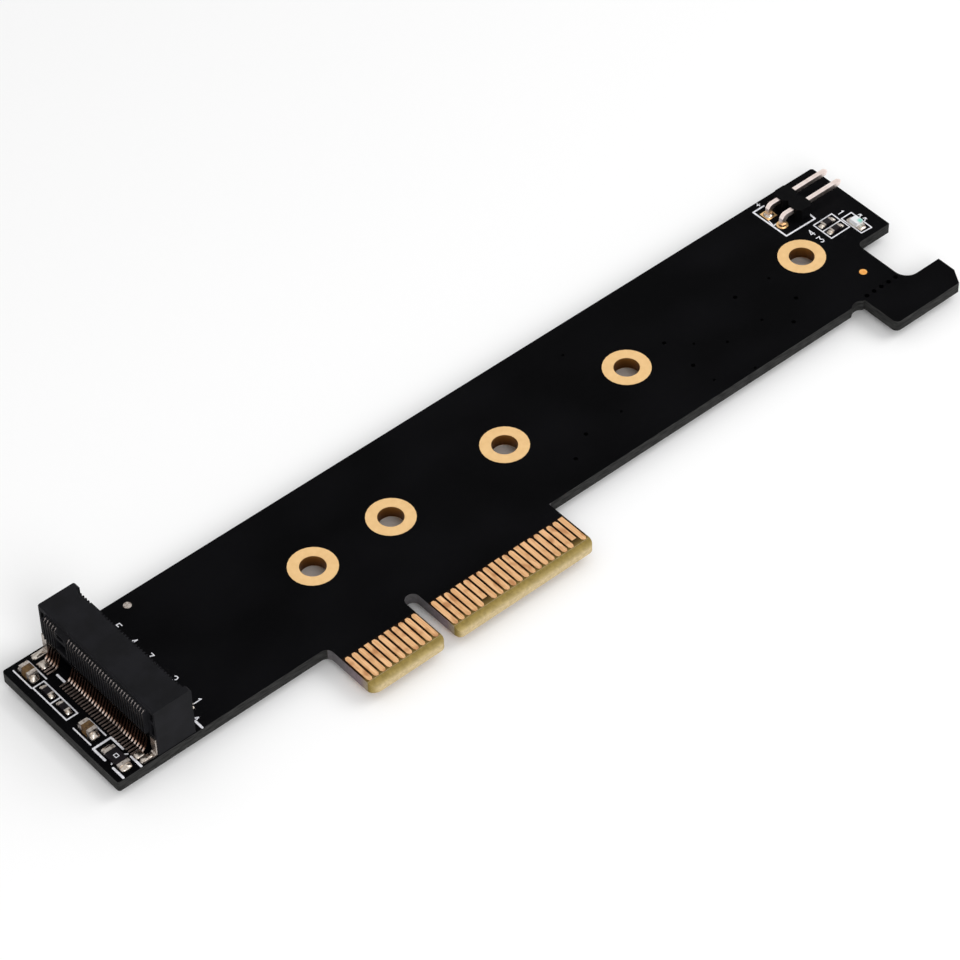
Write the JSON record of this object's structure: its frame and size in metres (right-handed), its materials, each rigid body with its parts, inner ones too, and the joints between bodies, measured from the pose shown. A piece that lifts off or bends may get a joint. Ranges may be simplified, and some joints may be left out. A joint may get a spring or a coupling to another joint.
{
  "type": "nvme adapter card",
  "caption": "Bare circuit card with a gold edge connector and a tall module socket, a row of gold-ringed mounting holes and a lamp header; adapts a stick-shaped drive to an expansion slot.",
  "frame": {"origin": "middle of the key slot, half way along the long edge contacts, on the solder side of the board", "axes": "+X along the card from the module socket to the retention hook, +Y from the edge contacts to the straight back edge, +Z out of the component side"},
  "size_m": [0.1299, 0.0306, 0.0104],
  "materials": {
    "mask_board": "satin black solder mask on glass-fibre laminate",
    "gold_plate": "thin immersion gold over nickel",
    "hard_gold": "rubbed hard gold",
    "bright_tin": "bright tin",
    "socket_moulding": "moulded, fine grained",
    "contact_bronze": "gold-flashed phosphor bronze strip",
    "header_moulding": "moulded",
    "post_gold": "pale gold flash",
    "solder": "reflowed solder",
    "capacitor_ceramic": "fired, matt",
    "resistor_glaze": "glazed black",
    "lamp_laminate": "white laminate",
    "lamp_epoxy": "clear cast epoxy"
  },
  "bodies": {
    "root": {"board": "mask_board", "hole_liner_30": "gold_plate", "hole_liner_42": "gold_plate", "hole_liner_60": "gold_plate", "hole_liner_80": "gold_plate", "hole_liner_110": "gold_plate", "long_contacts_component_side": "hard_gold", "short_contacts_component_side": "hard_gold", "long_contacts_solder_side": "hard_gold", "short_contacts_solder_side": "hard_gold", "gold_dot": "gold_plate", "tinned_dot": "bright_tin", "socket_housing": "socket_moulding", "upper_contacts": "contact_bronze", "lower_contacts": "contact_bronze", "front_clip": "bright_tin", "back_clip": "bright_tin", "header_block": "header_moulding", "plus_post": "post_gold", "minus_post": "post_gold", "header_pads": "gold_plate", "header_solder": "solder", "large_capacitors": "capacitor_ceramic", "large_capacitor_ends": "bright_tin", "resistors": "resistor_glaze", "resistor_ends": "bright_tin", "zero_ohm_link": "resistor_glaze", "zero_ohm_link_ends": "bright_tin", "tiny_capacitors": "capacitor_ceramic", "tiny_capacitor_ends": "bright_tin", "lamp_carrier": "lamp_laminate", "lamp_ends": "bright_tin", "lamp_lens": "lamp_epoxy"}
  },
  "joints": []
}
